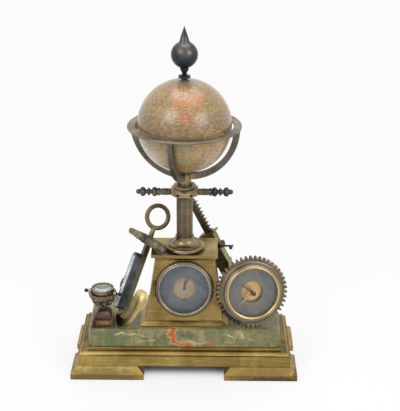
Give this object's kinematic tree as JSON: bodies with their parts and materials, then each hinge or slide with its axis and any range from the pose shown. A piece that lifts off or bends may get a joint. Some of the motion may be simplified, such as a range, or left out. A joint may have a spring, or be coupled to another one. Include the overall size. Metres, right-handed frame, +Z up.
{
  "type": "globe clock",
  "caption": "Onyx and brass desk globe on a capstan column, over a pedestal clock, barometer wheel, rack jack, anchor thermometer and binnacle compass.",
  "frame": {"origin": "centre of the bounding box's base, on the ground under the globe's axis", "axes": "+Z up; +X to the viewer's right; the clock faces -Y"},
  "size_m": [0.3, 0.1458, 0.4594],
  "materials": {
    "base_brass": "aged, satin",
    "board_wood": "stained board",
    "onyx": "polished banded onyx, green and cream with rust veins",
    "bolt_steel": "dull",
    "pedestal_brass": "aged gilt, satin",
    "works_brass": "clean brass",
    "arbor_steel": "turned steel",
    "clock_dial_silver": "tarnished silvered",
    "clock_gilt": "copper gilt",
    "hand_steel": "blued steel",
    "bezel_brass": "turned, worn bright",
    "glass": "clear",
    "column_bronze": "dark patina",
    "screw_bronze": "dark patina, fine thread",
    "capstan_brass": "worn patina",
    "bar_bronze": "dark patina",
    "arm_bronze": "dark patina",
    "ring_bronze": "engraved, dull",
    "globe_paper_north": "varnished printed paper",
    "globe_paper_south": "varnished printed paper",
    "finial_black": "blackened, satin",
    "anchor_bronze": "patina",
    "palm_brass": "worn bright",
    "stock_bronze": "cast, bark-like",
    "scale_case": "blackened, with a silvered scale let into its front",
    "thermometer_glass": "clear, filled",
    "binnacle_bronze": "dark copper patina",
    "cup_brass": "worn patina",
    "compass_silver": "silvered card",
    "gear_brass": "aged",
    "capsule_silver": "corrugated",
    "barometer_dial_silver": "tarnished silvered",
    "set_hand_gilt": "polished",
    "jack_bronze": "patina",
    "rack_bronze": "dark patina",
    "crank_steel": "darkened"
  },
  "bodies": {
    "base": {"bracket_feet": "base_brass", "base_moulding": "base_brass", "base_board": "board_wood", "onyx_slab": "onyx", "base_bolts": "bolt_steel", "pedestal_plinth": "pedestal_brass", "pedestal_body": "pedestal_brass", "pedestal_cap": "pedestal_brass", "rear_cover": "pedestal_brass", "movement_drum": "works_brass", "movement_frame": "works_brass", "spring_barrel": "works_brass", "clock_dial": "clock_dial_silver", "clock_centre": "clock_gilt", "bezel_hinge": "bezel_brass", "column_foot": "column_bronze", "screw_column": "screw_bronze", "anchor_shank": "anchor_bronze", "anchor_arms": "anchor_bronze", "anchor_palms": "palm_brass", "anchor_stock": "stock_bronze", "anchor_ring": "anchor_bronze", "thermometer_plate": "scale_case", "thermometer_tube": "thermometer_glass", "binnacle_stand": "binnacle_bronze", "binnacle_cup": "cup_brass", "gimbal_pins": "cup_brass", "gear_wheel": "gear_brass", "wheel_stay": "arm_bronze", "barometer_case": "works_brass", "aneroid_capsule": "capsule_silver", "barometer_plate": "clock_gilt", "barometer_dial": "barometer_dial_silver", "barometer_glass": "glass", "barometer_bezel": "bezel_brass", "jack_case": "jack_bronze", "jack_top_plate": "jack_bronze"},
    "clock_door": {"clock_bezel": "bezel_brass", "clock_glass": "glass"},
    "minutes": {"minute_hand": "hand_steel", "centre_arbor": "arbor_steel"},
    "hours": {"hour_hand": "hand_steel"},
    "winder": {"winding_arbor": "arbor_steel"},
    "capstan": {"capstan_head": "capstan_brass", "capstan_bars": "bar_bronze", "globe_arms": "arm_bronze", "horizon_ring": "ring_bronze", "globe_spindle": "arbor_steel", "finial_collar": "finial_black", "finial": "finial_black"},
    "globe": {"globe_north": "globe_paper_north", "globe_south": "globe_paper_south"},
    "pressure_hand": {"barometer_hand": "hand_steel"},
    "setting_hand": {"set_hand": "set_hand_gilt"},
    "bowl": {"compass_bowl": "cup_brass", "compass_glass": "glass"},
    "card": {"compass_card": "compass_silver"},
    "rack": {"jack_rack": "rack_bronze"},
    "crank": {"jack_crank": "crank_steel", "jack_pinion": "arbor_steel"}
  },
  "joints": [
    {"name": "capstan_turn", "type": "hinge", "parent": "base", "child": "capstan", "pos_m": [0, 0, 0.2356], "axis": [0, 0, 1], "continuous": true},
    {"name": "globe_spin", "type": "hinge", "parent": "capstan", "child": "globe", "pos_m": [0, 0, 0.3315], "axis": [0, 0, 1], "continuous": true},
    {"name": "clock_door_swing", "type": "hinge", "parent": "base", "child": "clock_door", "pos_m": [-0.039, -0.03038, 0.11526], "axis": [0, -0.1658, -0.9862], "range_deg": [0, 90]},
    {"name": "minute_turn", "type": "hinge", "parent": "base", "child": "minutes", "pos_m": [0, -0.02762, 0.1148], "axis": [0, 0.9862, -0.1658], "continuous": true},
    {"name": "hour_turn", "type": "hinge", "parent": "base", "child": "hours", "pos_m": [0, -0.02762, 0.1148], "axis": [0, 0.9862, -0.1658], "continuous": true},
    {"name": "winding_turn", "type": "hinge", "parent": "base", "child": "winder", "pos_m": [0, -0.03032, 0.09873], "axis": [0, 0.9862, -0.1658], "continuous": true},
    {"name": "pressure_turn", "type": "hinge", "parent": "base", "child": "pressure_hand", "pos_m": [0.0892, -0.0335, 0.11374], "axis": [-0.1702, 0.965, -0.1994], "range_deg": [-100, 100]},
    {"name": "setting_turn", "type": "hinge", "parent": "base", "child": "setting_hand", "pos_m": [0.0892, -0.0335, 0.11374], "axis": [-0.1702, 0.965, -0.1994], "continuous": true},
    {"name": "bowl_tilt", "type": "hinge", "parent": "base", "child": "bowl", "pos_m": [-0.1073, -0.0325, 0.1112], "axis": [0.9703, -0.2419, 0], "range_deg": [-15, 15]},
    {"name": "card_turn", "type": "hinge", "parent": "bowl", "child": "card", "pos_m": [-0.1073, -0.0325, 0.1112], "axis": [0, 0, 1], "continuous": true},
    {"name": "rack_lift", "type": "slide", "parent": "base", "child": "rack", "axis": [-0.4698, 0.171, 0.866], "range_m": [-0.028, 0.01]},
    {"name": "crank_turn", "type": "hinge", "parent": "base", "child": "crank", "pos_m": [0.04907, 0.05068, 0.14538], "axis": [0.342, 0.9397, 0], "range_deg": [-410, 140]}
  ],
  "couplings": [
    {"joint": "hour_turn", "follows": "minute_turn", "ratio": 0.083333},
    {"joint": "crank_turn", "follows": "rack_lift", "rad_per_m": 232.71}
  ]
}
